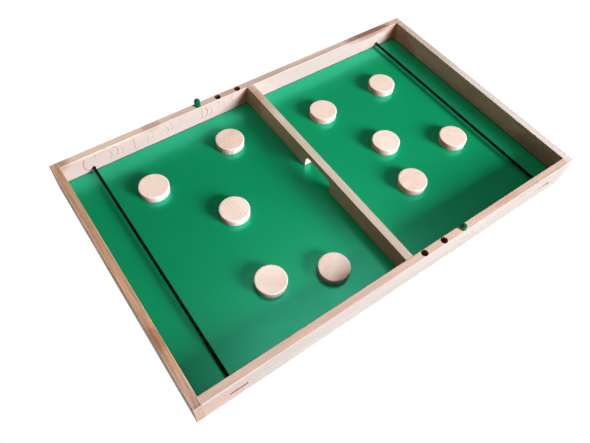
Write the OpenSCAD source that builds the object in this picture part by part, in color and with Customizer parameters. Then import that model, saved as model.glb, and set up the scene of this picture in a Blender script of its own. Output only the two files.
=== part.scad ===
// Sling puck board: a shallow beech tray in two halves, with a gate in the divider,
// a round elastic near each end, five wooden pucks a side and a score peg a side.
// The origin is the middle of the board's footprint, on the table. X runs along the
// long rails, +Y points to the back rail and +Z is up.

/* [Board] */
// Outer length, along the long rails
board_l = 600; // [480:1:720]
// Outer width, along the short rails
board_w = 372; // [340:1:450]
// Height of the four rails
rail_h = 45.5; // [42:0.5:56]
// Thickness of the four rails
rail_t = 10.5; // [10.5:0.5:14]
// Width of the chamfer that eases the rails' edges
edge_ease = 0.6; // [0.4:0.1:1.1]

/* [Playfield] */
// Underside of the panel, above the table
panel_z = 7; // [5:0.5:8]
// Thickness of the panel
panel_t = 7.2; // [6:0.1:8]
// Thickness of the green laminate on the panel
laminate_t = 0.8; // [0.5:0.1:1.2]
// Depth of the groove that holds the panel in the rails
groove_d = 4; // [3:0.5:5]
// Gap between the panel's edge and the groove's floor
groove_gap = 0.5; // [0.2:0.1:1]

/* [Divider] */
// Thickness of the divider
divider_t = 11.3; // [9:0.1:14]
// Width of the gate
gate_w = 55; // [46:0.5:70]
// Height of the wood left above the gate
bridge_h = 9.5; // [4:0.5:12]
// Radius of the gate's two upper corners
gate_r = 9; // [2:0.5:10]

/* [Elastics] */
// Distance of each elastic from the board's end
elastic_in = 50; // [44:1:60]
// Diameter of the round elastic
cord_d = 4; // [2.6:0.1:4.6]
// Height of the elastic's axis above the laminate
cord_up = 5.2; // [4:0.1:8]
// Gap round the elastic in its hole
cord_gap = 0.5; // [0.3:0.1:0.8]
// Diameter of the elastic's pinched end inside its tag
neck_d = 1.8; // [1.4:0.1:2]
// Gap round the pinched end
neck_gap = 0.1; // [0.05:0.05:0.2]

/* [End tags] */
// Length of the tag across the elastic's end
tag_l = 16; // [12:0.5:18]
// Height of the tag
tag_h = 2.8; // [2.6:0.1:3.2]
// Thickness of the tag
tag_t = 2.6; // [2:0.1:3]
// Gap between the tag and the slot's ends and sides
tag_gap = 0.3; // [0.2:0.1:0.6]
// Free length of the slot beyond the tag, on one side
slot_spare = 6; // [2:0.5:8]
// How far the tag lies below the rail's face
tag_sunk = 1; // [0.5:0.1:1.4]

/* [Score pegs] */
// Diameter of the score pegs
peg_d = 8.8; // [6:0.2:9]
// Gap round a peg in its hole
peg_gap = 0.1; // [0.05:0.05:0.15]
// Depth of the score holes
hole_depth = 18; // [14:0.5:20]
// Height of a seated peg above the rail
peg_up = 7.5; // [5:0.5:12]
// How far the back peg stands above its seat
back_peg_raised = 4.5; // [0:0.5:8]
// Radius of the pegs' domed tops
peg_dome_r = 4.6; // [4.6:0.1:8]
// First score hole, from the middle of the rail
first_hole_x = 20; // [14:0.5:24]
// Distance from one score hole to the next
hole_pitch = 33; // [24:0.5:36]

/* [Dowels] */
// Diameter of the hidden dowels in the joints
dowel_d = 5; // [4:0.5:6]
// Length of a dowel
dowel_l = 22; // [18:1:26]
// Wood left between a dowel's end and the rail's face
dowel_cover = 3.5; // [3:0.5:4]
// Gap round a dowel in its hole
dowel_gap = 0.05; // [0.05:0.01:0.1]
// Gap at each end of a dowel
dowel_end_gap = 0.5; // [0.3:0.1:1]
// Height of the lower dowel above the laminate
dowel_up = 7; // [4:0.5:8]
// Depth of the upper dowel below the rail's top
dowel_down = 9.5; // [6:0.5:10]

/* [Pucks] */
// Diameter of the pucks
puck_d = 40.5; // [30:0.5:44]
// Thickness of the pucks
puck_t = 10.5; // [6:0.1:12]
// Width of the chamfer on the pucks' edges
puck_ease = 0.4; // [0.2:0.1:1]
// Least gap between a puck and what stands beside it
puck_gap = 1; // [0.5:0.5:3]

/* [Where the pucks lie] */
// First puck on the left, from the middle of the board
left_puck_1_at = [-199, 101]; // [-260:1:260]
// Second puck on the left
left_puck_2_at = [-72, 118]; // [-260:1:260]
// Third puck on the left
left_puck_3_at = [-130, 12]; // [-260:1:260]
// Fourth puck on the left
left_puck_4_at = [-74, -127]; // [-260:1:260]
// Fifth puck on the left
left_puck_5_at = [-148, -99]; // [-260:1:260]
// First puck on the right
right_puck_1_at = [190, 92]; // [-260:1:260]
// Second puck on the right
right_puck_2_at = [76, 94]; // [-260:1:260]
// Third puck on the right
right_puck_3_at = [206, -51]; // [-260:1:260]
// Fourth puck on the right
right_puck_4_at = [116, -4]; // [-260:1:260]
// Fifth puck on the right
right_puck_5_at = [100, -79]; // [-260:1:260]

/* [Hidden] */
$fn = 96;

// Cutters run past the faces that they open by this much.
past = 1;

beech = [0.85, 0.72, 0.62];
pale_beech = [0.93, 0.83, 0.72];
panel_brown = [0.55, 0.43, 0.32];
field_green = [0.05, 0.52, 0.34];
peg_green = [0.04, 0.42, 0.25];
cord_black = [0.03, 0.03, 0.03];
tag_grey = [0.66, 0.63, 0.6];

// Clear size between the rails, and the height of the playing surface.
inner_l = board_l - 2 * rail_t;
inner_w = board_w - 2 * rail_t;
floor_z = panel_z + panel_t + laminate_t;
groove_h = panel_t + laminate_t;
gate_h = rail_h - floor_z - bridge_h;

// The panel and its laminate reach into the grooves on all four sides.
panel_l = inner_l + 2 * (groove_d - groove_gap);
panel_w = inner_w + 2 * (groove_d - groove_gap);

// The elastics' axes, and the holes and slots that take their ends.
elastic_x = board_l / 2 - elastic_in;
cord_z = floor_z + cord_up;
cord_hole_d = cord_d + 2 * cord_gap;
slot_d = tag_t + tag_sunk;
slot_h = tag_h + 2 * tag_gap;
slot_l = tag_l + 2 * tag_gap + slot_spare;

// A seated peg stands on the floor of its hole.
peg_l = hole_depth + peg_up;
hole_d = peg_d + 2 * peg_gap;
hole_xs = [for (i = [0 : 2]) first_hole_x + i * hole_pitch];
last_hole_x = hole_xs[2];
score_y = (board_w - rail_t) / 2;

dowel_zs = [floor_z + dowel_up, rail_h - dowel_down];

// A puck stays between the divider and the elastic, and clear of the long rails.
puck_r = puck_d / 2;
puck_x_min = divider_t / 2 + puck_r + puck_gap;
puck_x_max = elastic_x - cord_d / 2 - puck_r - puck_gap;
puck_y_max = inner_w / 2 - puck_r - puck_gap;

function clamped(v, low, high) = max(low, min(high, v));
function on_field(at) = [
  sign(at[0]) * clamped(abs(at[0]), puck_x_min, puck_x_max),
  clamped(at[1], -puck_y_max, puck_y_max)];

// A rectangle centred on the origin, with its four corners cut off at 45 degrees.
module eased_rectangle(l, w, c) {
  polygon([
    [-l / 2 + c, -w / 2], [l / 2 - c, -w / 2],
    [l / 2, -w / 2 + c], [l / 2, w / 2 - c],
    [l / 2 - c, w / 2], [-l / 2 + c, w / 2],
    [-l / 2, w / 2 - c], [-l / 2, -w / 2 + c]]);
}

// A flat outline drawn in X and Z, run along Y and centred on it.
module run_along_y(length) {
  translate([0, length / 2, 0]) rotate([90, 0, 0]) linear_extrude(length) children();
}

// A flat outline drawn in Y and Z, run along X and centred on it.
module run_along_x(length) {
  translate([-length / 2, 0, 0]) rotate([90, 0, 90]) linear_extrude(length) children();
}

// The board's outer shape with every outer edge eased.
module board_block() {
  intersection() {
    linear_extrude(rail_h) eased_rectangle(board_l, board_w, edge_ease);
    run_along_y(board_w)
      translate([0, rail_h / 2]) eased_rectangle(board_l, rail_h, edge_ease);
    run_along_x(board_l)
      translate([0, rail_h / 2]) eased_rectangle(board_w, rail_h, edge_ease);
  }
}

// The outline of the space between two rails, opened out at the top by the eased edge.
module flared_gap(w) {
  top = rail_h + past;
  flare = edge_ease + past;
  polygon([
    [-w / 2, -past], [w / 2, -past],
    [w / 2, rail_h - edge_ease], [w / 2 + flare, top],
    [-w / 2 - flare, top], [-w / 2, rail_h - edge_ease]]);
}

// The space inside the four rails.
module tray_space() {
  intersection() {
    run_along_y(2 * board_w) flared_gap(inner_l);
    run_along_x(2 * board_l) flared_gap(inner_w);
  }
}

// The groove that runs round inside the rails and takes the panel.
module panel_groove() {
  translate([-inner_l / 2 - groove_d, -inner_w / 2 - groove_d, panel_z])
    cube([inner_l + 2 * groove_d, inner_w + 2 * groove_d, groove_h]);
}

// A dowel along +X from the origin, with eased ends. Grown by a gap, it cuts its hole.
module dowel(gap = 0, end_gap = 0) {
  r = dowel_d / 2 + gap;
  low = -end_gap;
  high = dowel_l + end_gap;
  ease = 0.5;
  rotate([90, 0, 90]) rotate_extrude()
    polygon([
      [0, low], [r - ease, low], [r, low + ease],
      [r, high - ease], [r - ease, high], [0, high]]);
}

// Two dowels in each corner joint, and two in each end of the divider.
module all_dowels(gap = 0, end_gap = 0) {
  for (z = dowel_zs) {
    for (x_side = [-1, 1], y_side = [-1, 1])
      translate([x_side * (board_l / 2 - dowel_cover), y_side * score_y, z])
        rotate([0, 0, x_side > 0 ? 180 : 0]) dowel(gap, end_gap);
    for (y_side = [-1, 1])
      translate([0, y_side * (board_w / 2 - dowel_cover), z])
        rotate([0, 0, -90 * y_side]) dowel(gap, end_gap);
  }
}

// The slot in a long rail's outer face, with the hole for the elastic behind it.
module elastic_anchor() {
  translate([0, -board_w / 2, cord_z]) {
    rotate([-90, 0, 0]) cylinder(h = rail_t + past, d = cord_hole_d);
    translate([-tag_l / 2 - tag_gap, -past, -slot_h / 2])
      cube([slot_l, slot_d + past, slot_h]);
  }
}

// The left rail runs the whole width of the board, and the long rails butt against it.
module short_rail() {
  difference() {
    intersection() {
      board_block();
      translate([-board_l / 2, -board_w / 2, 0]) cube([rail_t, board_w, rail_h]);
    }
    tray_space();
    panel_groove();
    all_dowels(dowel_gap, dowel_end_gap);
  }
}

// The front rail fits between the short rails. Three score holes are right of the middle.
module long_rail() {
  difference() {
    intersection() {
      board_block();
      translate([-inner_l / 2, -board_w / 2, 0]) cube([inner_l, rail_t, rail_h]);
    }
    tray_space();
    panel_groove();
    all_dowels(dowel_gap, dowel_end_gap);
    for (x = hole_xs)
      translate([x, -score_y, rail_h - hole_depth])
        cylinder(h = hole_depth + past, d = hole_d);
    for (side = [-1, 1])
      translate([side * elastic_x, 0, 0]) elastic_anchor();
  }
}

module left_rail() {
  color(beech) short_rail();
}

module right_rail() {
  color(beech) rotate([0, 0, 180]) short_rail();
}

module front_rail() {
  color(beech) long_rail();
}

module back_rail() {
  color(beech) rotate([0, 0, 180]) long_rail();
}

// The gate's outline in Y and Z, standing on the laminate.
module gate_outline() {
  translate([-gate_w / 2, floor_z - past]) square([gate_w, gate_h + past - gate_r]);
  translate([-gate_w / 2 + gate_r, floor_z - past])
    square([gate_w - 2 * gate_r, gate_h + past]);
  for (side = [-1, 1])
    translate([side * (gate_w / 2 - gate_r), floor_z + gate_h - gate_r])
      circle(r = gate_r);
}

// The divider stands on the laminate, with its top flush with the rails.
module divider() {
  color(beech) difference() {
    run_along_y(inner_w)
      polygon([
        [-divider_t / 2, floor_z], [divider_t / 2, floor_z],
        [divider_t / 2, rail_h - edge_ease], [divider_t / 2 - edge_ease, rail_h],
        [-divider_t / 2 + edge_ease, rail_h], [-divider_t / 2, rail_h - edge_ease]]);
    run_along_x(divider_t + 2 * past) gate_outline();
    all_dowels(dowel_gap, dowel_end_gap);
  }
}

module base_panel() {
  color(panel_brown)
    translate([-panel_l / 2, -panel_w / 2, panel_z]) cube([panel_l, panel_w, panel_t]);
}

// The green laminate is one sheet, and runs on under the divider.
module playfield() {
  color(field_green)
    translate([-panel_l / 2, -panel_w / 2, panel_z + panel_t])
      cube([panel_l, panel_w, laminate_t]);
}

module joint_dowels() {
  color(pale_beech) all_dowels();
}

// The elastic runs from slot to slot, and its pinched ends go into the tags.
module elastic() {
  reach = board_w - 2 * slot_d;
  neck_l = reach + 2 * (tag_t - 0.3);
  translate([0, 0, cord_z]) rotate([90, 0, 0]) {
    cylinder(h = reach, d = cord_d, center = true);
    cylinder(h = neck_l, d = neck_d, center = true);
  }
}

module left_elastic() {
  color(cord_black) translate([-elastic_x, 0, 0]) elastic();
}

module right_elastic() {
  color(cord_black) translate([elastic_x, 0, 0]) elastic();
}

// A flat tag with round ends, across the elastic's end and flat on the slot's floor.
module tag() {
  r = tag_h / 2;
  translate([0, -board_w / 2 + slot_d, cord_z]) rotate([90, 0, 0])
    difference() {
      linear_extrude(tag_t) {
        square([tag_l - tag_h, tag_h], center = true);
        for (side = [-1, 1])
          translate([side * (tag_l / 2 - r), 0]) circle(r = r);
      }
      translate([0, 0, -past])
        cylinder(h = tag_t + 2 * past, d = neck_d + 2 * neck_gap);
    }
}

module elastic_tags() {
  color(tag_grey)
    for (turn = [0, 180], side = [-1, 1])
      rotate([0, 0, turn]) translate([side * elastic_x, 0, 0]) tag();
}

// A dowel peg with a domed top and an eased foot, standing on the origin.
module score_peg() {
  r = peg_d / 2;
  ease = 0.6;
  color(peg_green) intersection() {
    rotate_extrude()
      polygon([[0, 0], [r - ease, 0], [r, ease], [r, peg_l], [0, peg_l]]);
    union() {
      translate([0, 0, peg_l - peg_dome_r]) sphere(r = peg_dome_r);
      cylinder(h = peg_l - peg_dome_r, r = r + past);
    }
  }
}

module front_score_peg() {
  translate([last_hole_x, -score_y, rail_h - hole_depth]) score_peg();
}

module back_score_peg() {
  translate([-last_hole_x, score_y, rail_h - hole_depth + back_peg_raised]) score_peg();
}

// A flat puck with eased edges, lying on the laminate.
module puck(at) {
  place = on_field(at);
  color(pale_beech) translate([place[0], place[1], floor_z]) rotate_extrude()
    polygon([
      [0, 0], [puck_r - puck_ease, 0], [puck_r, puck_ease],
      [puck_r, puck_t - puck_ease], [puck_r - puck_ease, puck_t], [0, puck_t]]);
}

module left_puck_1() puck(left_puck_1_at);
module left_puck_2() puck(left_puck_2_at);
module left_puck_3() puck(left_puck_3_at);
module left_puck_4() puck(left_puck_4_at);
module left_puck_5() puck(left_puck_5_at);
module right_puck_1() puck(right_puck_1_at);
module right_puck_2() puck(right_puck_2_at);
module right_puck_3() puck(right_puck_3_at);
module right_puck_4() puck(right_puck_4_at);
module right_puck_5() puck(right_puck_5_at);

left_rail();
right_rail();
front_rail();
back_rail();
divider();
base_panel();
playfield();
joint_dowels();
left_elastic();
right_elastic();
elastic_tags();
front_score_peg();
back_score_peg();
left_puck_1();
left_puck_2();
left_puck_3();
left_puck_4();
left_puck_5();
right_puck_1();
right_puck_2();
right_puck_3();
right_puck_4();
right_puck_5();
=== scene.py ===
import math

import bpy
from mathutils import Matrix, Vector


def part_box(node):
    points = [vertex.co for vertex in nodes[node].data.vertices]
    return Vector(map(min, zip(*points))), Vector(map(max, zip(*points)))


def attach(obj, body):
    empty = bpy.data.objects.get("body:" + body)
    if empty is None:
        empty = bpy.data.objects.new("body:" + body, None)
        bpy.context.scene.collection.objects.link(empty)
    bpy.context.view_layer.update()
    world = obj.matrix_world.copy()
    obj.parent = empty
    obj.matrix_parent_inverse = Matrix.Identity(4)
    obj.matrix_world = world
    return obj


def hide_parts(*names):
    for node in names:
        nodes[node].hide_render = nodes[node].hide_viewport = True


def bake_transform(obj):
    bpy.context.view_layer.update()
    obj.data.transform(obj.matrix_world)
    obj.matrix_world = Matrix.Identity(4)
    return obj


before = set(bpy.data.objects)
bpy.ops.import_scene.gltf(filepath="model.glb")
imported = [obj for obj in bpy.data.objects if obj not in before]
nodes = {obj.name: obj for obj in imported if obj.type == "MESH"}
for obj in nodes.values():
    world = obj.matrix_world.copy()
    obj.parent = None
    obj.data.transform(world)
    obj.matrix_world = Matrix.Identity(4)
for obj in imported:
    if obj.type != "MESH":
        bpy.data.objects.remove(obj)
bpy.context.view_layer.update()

mm = 0.001
origin = (0, 0, 0)
white = (1, 1, 1)
touching = 0.00001  # places nearer to each other than this are the same
print("loaded", len(nodes), "nodes")

# Camera, stage and light

cameraView = {
    "place": (-0.32425, -0.34053, 0.59411),
    "turn": (33.9133, -3.2603, -35.4026),  # degrees about X, Y and Z
    "lens": 32.737,
    "sensor": 36.0,
    "near": 0.01,
    "far": 60,
}

stageFloor = {"size": 14.0, "drop": 0.0003, "shade": 0.5}

room = {
    "colour": (1.0, 0.78, 0.66),
    "light": 0.051,
    "whiteBelow": 0.10,  # height of the direction under which gloss sees a white room
    "darkAbove": 0.5,
}

# A broad window at the front right, a soft light above it and a bright patch of ceiling,
# which is all that the gloss of the laminate shows.
lamps = {
    "windowKey": {"place": (1.70, -3.18, 1.36), "aim": (1.70, 0.0, 1.36), "size": (1.6, 1.3),
                  "power": 418, "colour": (1.0, 0.985, 0.97), "inGloss": False, "inShade": True},
    "softOverhead": {"place": (-0.2, -0.4, 2.6), "aim": (0.0, 0.0, 0.0), "size": (2.2, 2.2),
                     "power": 22.5, "colour": (1.0, 0.74, 0.61), "inGloss": False, "inShade": True},
    "ceilingPatch": {"place": (0.42, 0.185, 1.6), "aim": (0.42, 0.185, 0.0),
                     "size": (0.85, 0.6), "power": 3.0, "colour": (1.0, 0.96, 0.78),
                     "inGloss": True, "inShade": False},
}


def setMode(mode):
    bpy.ops.object.mode_set(mode=mode)


def deselectAll():
    if bpy.context.mode != "OBJECT":
        setMode("OBJECT")
    bpy.ops.object.select_all(action="DESELECT")


def selectOnly(piece):
    deselectAll()
    bpy.context.view_layer.objects.active = piece
    piece.select_set(True)


def nodeTree(owner):
    owner.use_nodes = True
    owner.node_tree.nodes.clear()
    return owner.node_tree


# Adds a node. An input is given a value, or the socket that feeds it.
def addNode(tree, kind, inputs=None, **settings):
    node = tree.nodes.new("ShaderNode" + kind)
    for name, value in settings.items():
        setattr(node, name, value)
    for name, value in (inputs or {}).items():
        if isinstance(value, bpy.types.NodeSocket):
            tree.links.new(value, node.inputs[name])
        else:
            node.inputs[name].default_value = value
    return node


def useGroup(tree, group, inputs):
    return addNode(tree, "Group", inputs, node_tree=group).outputs


def calc(tree, operation, a, b=0.0, c=0.0):
    return addNode(tree, "Math", {0: a, 1: b, 2: c}, operation=operation).outputs[0]


def times(tree, a, b):
    return calc(tree, "MULTIPLY", a, b)


def vectorCalc(tree, operation, a, b=origin):
    return addNode(tree, "VectorMath", {0: a, 1: b}, operation=operation).outputs[0]


def vectorLength(tree, vector):
    return addNode(tree, "VectorMath", {0: vector}, operation="LENGTH").outputs[1]


def split(tree, vector):
    return addNode(tree, "SeparateXYZ", {0: vector}).outputs


def turnedFlat(tree, vector, angle):
    inputs = {"Vector": vector, "Angle": angle}
    return addNode(tree, "VectorRotate", inputs, rotation_type="Z_AXIS").outputs[0]


# A plain colour with its alpha; a socket is left as it is.
def solid(colour):
    return (*colour, 1.0) if isinstance(colour, tuple) else colour


def mixColour(tree, share, low, high, blend="MIX"):
    inputs = {0: share, 6: solid(low), 7: solid(high)}
    return addNode(tree, "Mix", inputs, data_type="RGBA", blend_type=blend).outputs[2]


def eased(tree, value, start, end, low=0.0, high=1.0):
    inputs = {0: value, 1: start, 2: end, 3: low, 4: high}
    return addNode(tree, "MapRange", inputs, interpolation_type="SMOOTHSTEP").outputs[0]


# The waves are those in a metre along X, Y and Z.
def noise(tree, place, waves, detail=2.0, roughness=0.5):
    inputs = {"Vector": vectorCalc(tree, "MULTIPLY", place, waves), "Scale": 1.0,
              "Detail": detail, "Roughness": roughness}
    return addNode(tree, "TexNoise", inputs).outputs["Fac"]


# A colour with a stain over it, as strong as its mask times its share.
def stained(tree, colour, mask, share, stain):
    return mixColour(tree, times(tree, mask, share), colour, stain)


def makeCamera(view):
    turn = [math.radians(a) for a in view["turn"]]
    bpy.ops.object.camera_add(location=view["place"], rotation=turn)
    camera = bpy.context.object
    camera.name = "photoCamera"
    camera.data.lens = view["lens"]
    camera.data.sensor_width = view["sensor"]
    camera.data.clip_start = view["near"]
    camera.data.clip_end = view["far"]
    bpy.context.scene.camera = camera


def makeLamp(name, lamp):
    place, aim = Vector(lamp["place"]), Vector(lamp["aim"])
    bpy.ops.object.light_add(type="AREA", location=place)
    light = bpy.context.object
    light.name = name
    light.rotation_euler = (aim - place).to_track_quat("-Z", "Y").to_euler()
    light.data.shape = "RECTANGLE"
    light.data.size, light.data.size_y = lamp["size"]
    light.data.energy = lamp["power"]
    light.data.color = lamp["colour"]
    light.visible_glossy = lamp["inGloss"]
    light.visible_diffuse = lamp["inShade"]


# The share of a ray that sees white: all of the camera's own and of those through glass, and as
# much of a gloss ray as is given.
def whiteShare(tree, gloss):
    path = addNode(tree, "LightPath").outputs
    direct = calc(tree, "MAXIMUM", path["Is Camera Ray"], path["Is Transmission Ray"])
    return calc(tree, "MAXIMUM", direct, times(tree, path["Is Glossy Ray"], gloss))


def makeRoom(values):
    world = bpy.data.worlds.new("studio")
    bpy.context.scene.world = world
    tree = nodeTree(world)
    height = split(tree, addNode(tree, "TexCoord").outputs["Generated"])[2]
    gloss = eased(tree, height, values["whiteBelow"], values["darkAbove"], 1.0, 0.0)
    lit = addNode(tree, "Background", {"Color": solid(values["colour"]),
                                       "Strength": values["light"]})
    seen = addNode(tree, "Background", {"Color": solid(white), "Strength": 1.0})
    mix = addNode(tree, "MixShader", {0: whiteShare(tree, gloss), 1: lit.outputs[0],
                                      2: seen.outputs[0]})
    addNode(tree, "OutputWorld", {0: mix.outputs[0]})


def makeStage(values):
    place = (0, 0, -values["drop"])
    bpy.ops.mesh.primitive_plane_add(size=values["size"], location=place)
    floor = bpy.context.object
    floor.name = "stageFloor"
    material = bpy.data.materials.new("stagePaper")
    tree = nodeTree(material)
    seen = whiteShare(tree, 1.0)
    paper = mixColour(tree, seen, (values["shade"],) * 3, white)
    matt = addNode(tree, "BsdfDiffuse", {"Color": paper})
    glow = addNode(tree, "Emission", {"Color": solid(white), "Strength": 1.0})
    mix = addNode(tree, "MixShader", {0: seen, 1: matt.outputs[0], 2: glow.outputs[0]})
    addNode(tree, "OutputMaterial", {0: mix.outputs[0]})
    floor.data.materials.append(material)


deselectAll()
makeCamera(cameraView)
makeRoom(room)
makeStage(stageFloor)
for lampName, lampValues in lamps.items():
    makeLamp(lampName, lampValues)
bpy.context.scene.view_settings.view_transform = "Standard"
print("camera, floor and", len(lamps), "lamps are set")

# Node groups that several finishes share


def newGroup(name, inputs, outputs):
    group = bpy.data.node_groups.new(name, "ShaderNodeTree")
    for label, value in inputs.items():
        kind = "NodeSocketVector" if isinstance(value, tuple) else "NodeSocketFloat"
        socket = group.interface.new_socket(label, in_out="INPUT", socket_type=kind)
        socket.default_value = value
    for label in outputs:
        group.interface.new_socket(label, in_out="OUTPUT", socket_type="NodeSocketFloat")
    taken = group.nodes.new("NodeGroupInput").outputs
    given = group.nodes.new("NodeGroupOutput").inputs
    return group, taken, given


# Beech, with its grain along X: growth rings, long streaks, short dark flecks and broad tones.
def makeBeechFigure():
    group, taken, given = newGroup(
        "beechFigure",
        {"Place": origin, "Ring Middle": origin, "Ring Gap": 0.0025, "Ring Tilt": 0.15,
         "Wander": 0.009, "Sharpness": 5.0, "Steadiness": 0.0, "Seed": 0.0},
        ["Rings", "Streaks", "Flecks", "Tone", "Height"])
    shift = addNode(group, "CombineXYZ", {axis: taken["Seed"] for axis in range(3)})
    seeded = vectorCalc(group, "ADD", taken["Place"], shift.outputs[0])

    away = split(group, vectorCalc(group, "SUBTRACT", taken["Place"], taken["Ring Middle"]))
    wander = calc(group, "SUBTRACT", noise(group, seeded, (9, 30, 30), 1.0), 0.5)
    wander = times(group, wander, taken["Wander"])
    across = calc(group, "MULTIPLY_ADD", away[0], taken["Ring Tilt"], away[1])
    across = calc(group, "ADD", across, wander)
    flat = addNode(group, "CombineXYZ", {0: 0.0, 1: across, 2: away[2]}).outputs[0]
    ring = calc(group, "DIVIDE", vectorLength(group, flat), taken["Ring Gap"])
    ring = calc(group, "FRACT", ring)
    late = calc(group, "POWER", ring, taken["Sharpness"])  # late wood darkens, then stops
    broken = eased(group, noise(group, seeded, (30, 120, 120), 1.0), 0.38, 0.60)
    broken = calc(group, "MAXIMUM", broken, taken["Steadiness"])
    group.links.new(times(group, late, broken), given["Rings"])

    streaks = noise(group, seeded, (14, 620, 620), 3.0, 0.6)
    group.links.new(eased(group, streaks, 0.32, 0.70), given["Streaks"])
    flecks = noise(group, seeded, (230, 2100, 2100), 1.0)
    group.links.new(eased(group, flecks, 0.62, 0.72), given["Flecks"])
    tone = noise(group, seeded, (5, 26, 26), 3.0, 0.55)
    group.links.new(eased(group, tone, 0.30, 0.70), given["Tone"])
    group.links.new(calc(group, "MULTIPLY_ADD", flecks, -0.6, streaks), given["Height"])
    return group


# Masks for wear and painted light on a squared piece: its level arrises, partly worn and partly
# given a painted highlight, and what lies inside it, such as bores, where shade is painted, and
# the divider's gate, where a highlight is painted.
def makeArrisWearAndLight():
    group, taken, given = newGroup(
        "arrisWearAndLight", {"Place": origin, "Low": origin, "High": (1, 1, 1), "Width": 0.0012},
        ["Arris", "Inside"])
    low = vectorCalc(group, "SUBTRACT", taken["Place"], taken["Low"])
    high = vectorCalc(group, "SUBTRACT", taken["High"], taken["Place"])
    near = split(group, vectorCalc(group, "MINIMUM", low, high))
    least = calc(group, "MINIMUM", near[0], near[1])
    # An upright arris gets neither wear nor the painted highlight.
    second = calc(group, "MAXIMUM", least, near[2])  # an upright arris isn't worn
    least = calc(group, "MINIMUM", least, near[2])
    rub = noise(group, taken["Place"], (160, 160, 160), 2.0)
    reach = times(group, taken["Width"], calc(group, "ADD", rub, 0.5))
    arris = calc(group, "DIVIDE", second, reach)
    group.links.new(eased(group, arris, 0.5, 1.2, 1.0, 0.0), given["Arris"])
    group.links.new(eased(group, least, 0.0007, 0.0020), given["Inside"])
    return group


# A patch with a ragged soft edge, such as a brown heart stain, round a point.
def makeSoftPatch():
    group, taken, given = newGroup(
        "softPatch", {"Place": origin, "Centre": origin, "Reach": (1, 1, 1)}, ["Mask"])
    away = vectorCalc(group, "SUBTRACT", taken["Place"], taken["Centre"])
    far = vectorLength(group, vectorCalc(group, "DIVIDE", away, taken["Reach"]))
    ragged = noise(group, taken["Place"], (70, 240, 240), 3.0, 0.6)
    far = calc(group, "ADD", far, calc(group, "MULTIPLY_ADD", ragged, 1.2, -0.6))
    group.links.new(eased(group, far, 0.45, 1.15, 1.0, 0.0), given["Mask"])
    return group


# A thin curved line across the grain, where a growth ring shows on a rail's face.
def makeThinArc():
    group, taken, given = newGroup(
        "thinArc",
        {"Place": origin, "Middle": origin, "Bulge": 0.003, "Reach": 0.01, "Width": 0.0004},
        ["Mask"])
    away = split(group, vectorCalc(group, "SUBTRACT", taken["Place"], taken["Middle"]))
    height = calc(group, "DIVIDE", away[2], taken["Reach"])
    bend = times(group, times(group, height, height), taken["Bulge"])
    ragged = noise(group, taken["Place"], (60, 60, 260), 2.0)
    shake = calc(group, "MULTIPLY_ADD", ragged, 0.003, -0.0015)
    off = calc(group, "ADD", calc(group, "SUBTRACT", away[0], bend), shake)
    off = calc(group, "DIVIDE", calc(group, "ABSOLUTE", off), taken["Width"])
    line = eased(group, off, 0.4, 1.6, 1.0, 0.0)
    ends = eased(group, calc(group, "ABSOLUTE", height), 0.75, 1.1, 1.0, 0.0)
    group.links.new(times(group, line, ends), given["Mask"])
    return group


# The walls of a bore or slot: what lies within a radius of its axis and inside a small box.
def makeHollowWall():
    group, taken, given = newGroup(
        "hollowWall",
        {"Place": origin, "Centre": origin, "Across": (1, 1, 0), "Radius": 0.0045,
         "Half Size": (0.01, 0.01, 0.01)},
        ["Mask"])
    away = vectorCalc(group, "SUBTRACT", taken["Place"], taken["Centre"])
    flat = vectorCalc(group, "MULTIPLY", away, taken["Across"])
    beyond = calc(group, "SUBTRACT", vectorLength(group, flat), taken["Radius"])
    mask = eased(group, beyond, 0.0, 0.0003, 1.0, 0.0)
    away = vectorCalc(group, "ABSOLUTE", away)
    for part in split(group, vectorCalc(group, "SUBTRACT", taken["Half Size"], away)):
        mask = times(group, mask, calc(group, "GREATER_THAN", part, 0.0))
    group.links.new(mask, given["Mask"])
    return group


# Signs of use on any surface: broad smudges from hands, and fine scratches two ways.
def makeHandling():
    group, taken, given = newGroup(
        "handling", {"Place": origin, "Seed": 0.0}, ["Smudges", "Scratches"])
    shift = addNode(group, "CombineXYZ", {0: taken["Seed"], 1: taken["Seed"], 2: 0.0})
    seeded = vectorCalc(group, "ADD", taken["Place"], shift.outputs[0])
    smudges = noise(group, seeded, (16, 16, 16), 3.0, 0.6)
    group.links.new(eased(group, smudges, 0.42, 0.68), given["Smudges"])
    ways = []
    for angle, waves, start in ((0.6, (7, 900, 30), 0.70), (-1.1, (9, 1100, 30), 0.71)):
        lines = noise(group, turnedFlat(group, seeded, angle), waves, 1.0)
        ways.append(eased(group, lines, start, start + 0.04))
    group.links.new(calc(group, "MAXIMUM", *ways), given["Scratches"])
    return group


beechFigure = makeBeechFigure()
arrisWearAndLight = makeArrisWearAndLight()
softPatch = makeSoftPatch()
thinArc = makeThinArc()
hollowWall = makeHollowWall()
handling = makeHandling()
print("node groups are made")


# A new material with its Principled shader; the shader's own values are plain numbers.
def newFinish(name, values):
    material = bpy.data.materials.new(name)
    tree = nodeTree(material)
    shader = addNode(tree, "BsdfPrincipled", values)
    addNode(tree, "OutputMaterial", {0: shader.outputs[0]})
    return material, tree, shader.inputs


def handled(tree, place, seed):
    return useGroup(tree, handling, {"Place": place, "Seed": seed})


# Joins a finish's colour and roughness to its shader, and a bump made from its height.
def joinFinish(tree, shader, colour, rough, height, depth, strength=1.0):
    bump = addNode(tree, "Bump", {"Height": height, "Distance": depth, "Strength": strength})
    tree.links.new(colour, shader["Base Color"])
    tree.links.new(rough, shader["Roughness"])
    tree.links.new(bump.outputs[0], shader["Normal"])


# Pieces that start from their CAD solid

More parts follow.
